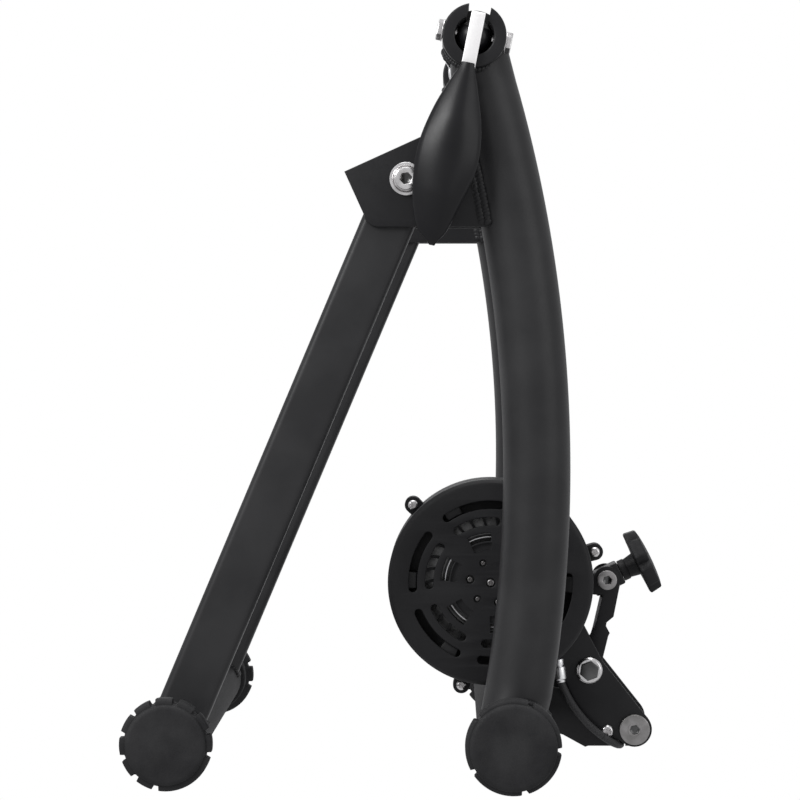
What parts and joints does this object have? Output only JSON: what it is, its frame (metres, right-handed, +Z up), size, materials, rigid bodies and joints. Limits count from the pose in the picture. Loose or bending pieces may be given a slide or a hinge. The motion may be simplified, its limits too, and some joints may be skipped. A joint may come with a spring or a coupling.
{
  "type": "bike trainer",
  "caption": "Folding indoor bicycle trainer: bent tube frame with hub clamps and lever, folding legs, and a roller unit with flywheel brake, tension screw and remote shift cable.",
  "frame": {"origin": "on the floor, at the middle of the trainer's length, width and depth without its cable", "axes": "+Y along the wheel's axle from the clamp lever's side to the far side, +X from the folding legs towards the tension knob, +Z up"},
  "size_m": [0.3422, 0.51, 0.4815],
  "materials": {
    "black_paint": "satin black powder coat",
    "black_plastic": "matt moulded black",
    "black_rubber": "matt black",
    "zinc": "bright zinc plate",
    "aluminium": "cast and turned",
    "dark_steel": "darkened steel"
  },
  "bodies": {
    "main_frame": {"rear_base_tube": "black_paint", "near_arch_tube": "black_paint", "far_arch_tube": "black_paint", "near_leg_bracket": "black_paint", "far_leg_bracket": "black_paint", "near_rear_foot": "black_rubber", "far_rear_foot": "black_rubber", "near_clamp_sleeve": "black_paint", "far_clamp_sleeve": "black_paint", "near_hinge_bolt": "zinc", "far_hinge_bolt": "zinc", "unit_mount_bracket": "black_paint", "unit_pivot_bolt": "zinc", "unit_pivot_sleeve": "zinc", "lever_bolt": "zinc", "far_lock_ring": "aluminium", "shift_cable": "black_plastic", "cable_coil": "black_plastic", "cable_tail": "black_plastic", "shifter_body": "black_plastic"},
    "leg_frame": {"near_leg": "black_paint", "far_leg": "black_paint", "front_base_tube": "black_paint", "near_front_foot": "black_rubber", "far_front_foot": "black_rubber", "near_leg_bush": "black_plastic", "far_leg_bush": "black_plastic"},
    "clamp_lever": {"lever_bar": "aluminium", "lever_grip": "black_plastic"},
    "clamp_plunger": {"near_plunger": "black_paint", "near_hub_cup": "aluminium"},
    "far_cup": {"far_hub_cup": "aluminium"},
    "far_screw": {"far_hub_screw": "dark_steel", "far_knob": "black_plastic"},
    "resistance_unit": {"near_yoke_plate": "black_paint", "far_yoke_plate": "black_paint", "yoke_tie": "black_paint", "near_bearing": "dark_steel", "far_bearing": "dark_steel", "brake_cover": "black_plastic", "brake_back_housing": "black_plastic", "link_bolt": "zinc", "anchor_pin": "zinc", "unit_cable": "black_plastic", "cable_adjuster": "aluminium", "near_link_spacer": "zinc", "far_link_spacer": "zinc"},
    "rotor": {"roller": "dark_steel", "rotor_shaft": "dark_steel", "flywheel": "aluminium", "cooling_fan": "black_plastic"},
    "magnets": {"magnet_carrier": "dark_steel"},
    "tension_link": {"tension_link": "black_paint", "link_bumper": "black_rubber", "near_swivel_screw": "zinc", "far_swivel_screw": "zinc"},
    "swivel_block": {"swivel_block": "black_paint"},
    "tension_rod": {"tension_rod": "zinc"},
    "tension_knob": {"tension_knob": "black_plastic"},
    "shift_lever": {"shift_lever": "black_plastic"}
  },
  "joints": [
    {"name": "leg_fold", "type": "hinge", "parent": "main_frame", "child": "leg_frame", "pos_m": [0.0029, 0, 0.374], "axis": [0, 1, 0], "range_deg": [-24, 42.5]},
    {"name": "clamp_lever_turn", "type": "hinge", "parent": "main_frame", "child": "clamp_lever", "pos_m": [0.045, -0.184, 0.4618], "axis": [-0.9806, 0, 0.1959], "range_deg": [0, 88]},
    {"name": "plunger_slide", "type": "slide", "parent": "main_frame", "child": "clamp_plunger", "axis": [0, -1, 0], "range_m": [0, 0.005]},
    {"name": "far_cup_slide", "type": "slide", "parent": "main_frame", "child": "far_cup", "axis": [0, -1, 0], "range_m": [-0.012, 0.009]},
    {"name": "far_screw_turn", "type": "hinge", "parent": "far_cup", "child": "far_screw", "pos_m": [0.045, 0.195, 0.4618], "axis": [0, -1, 0], "range_deg": [-2160, 1620]},
    {"name": "unit_swing", "type": "hinge", "parent": "main_frame", "child": "resistance_unit", "pos_m": [0.1516, 0, 0.0181], "axis": [0, 1, 0], "range_deg": [0, 4.1]},
    {"name": "roller_spin", "type": "hinge", "parent": "resistance_unit", "child": "rotor", "pos_m": [0.0562, 0, 0.1186], "axis": [0, 1, 0], "continuous": true},
    {"name": "magnet_shift", "type": "hinge", "parent": "resistance_unit", "child": "magnets", "pos_m": [0.0562, -0.078, 0.1186], "axis": [0, 1, 0], "range_deg": [0, 10.1]},
    {"name": "link_pull", "type": "hinge", "parent": "resistance_unit", "child": "tension_link", "pos_m": [0.1218, 0, 0.057], "axis": [0, -1, 0], "range_deg": [0, 15.1]},
    {"name": "block_tilt", "type": "hinge", "parent": "tension_link", "child": "swivel_block", "pos_m": [0.1348, 0, 0.1146], "axis": [0, 1, 0], "range_deg": [0, 1]},
    {"name": "rod_tilt", "type": "hinge", "parent": "resistance_unit", "child": "tension_rod", "pos_m": [0.0943, 0, 0.09498], "axis": [0, -1, 0], "range_deg": [0, 14.1]},
    {"name": "tension_knob_turn", "type": "hinge", "parent": "swivel_block", "child": "tension_knob", "pos_m": [0.1348, 0, 0.1146], "axis": [-0.9, 0, -0.436], "range_deg": [0, 2160]},
    {"name": "shift_lever_turn", "type": "hinge", "parent": "main_frame", "child": "shift_lever", "pos_m": [0.109, 0.14, 0.02], "axis": [0, 0, 1], "range_deg": [0, 60]}
  ],
  "couplings": [
    {"joint": "plunger_slide", "follows": "clamp_lever_turn", "m_per_rad": 0.003249},
    {"joint": "far_cup_slide", "follows": "far_screw_turn", "m_per_rad": 0.000318},
    {"joint": "unit_swing", "follows": "tension_knob_turn", "ratio": 0.001875},
    {"joint": "link_pull", "follows": "tension_knob_turn", "ratio": 0.0069444},
    {"joint": "block_tilt", "follows": "tension_knob_turn", "ratio": 0.0004444},
    {"joint": "rod_tilt", "follows": "tension_knob_turn", "ratio": 0.0065},
    {"joint": "magnet_shift", "follows": "shift_lever_turn", "ratio": 0.16667}
  ]
}
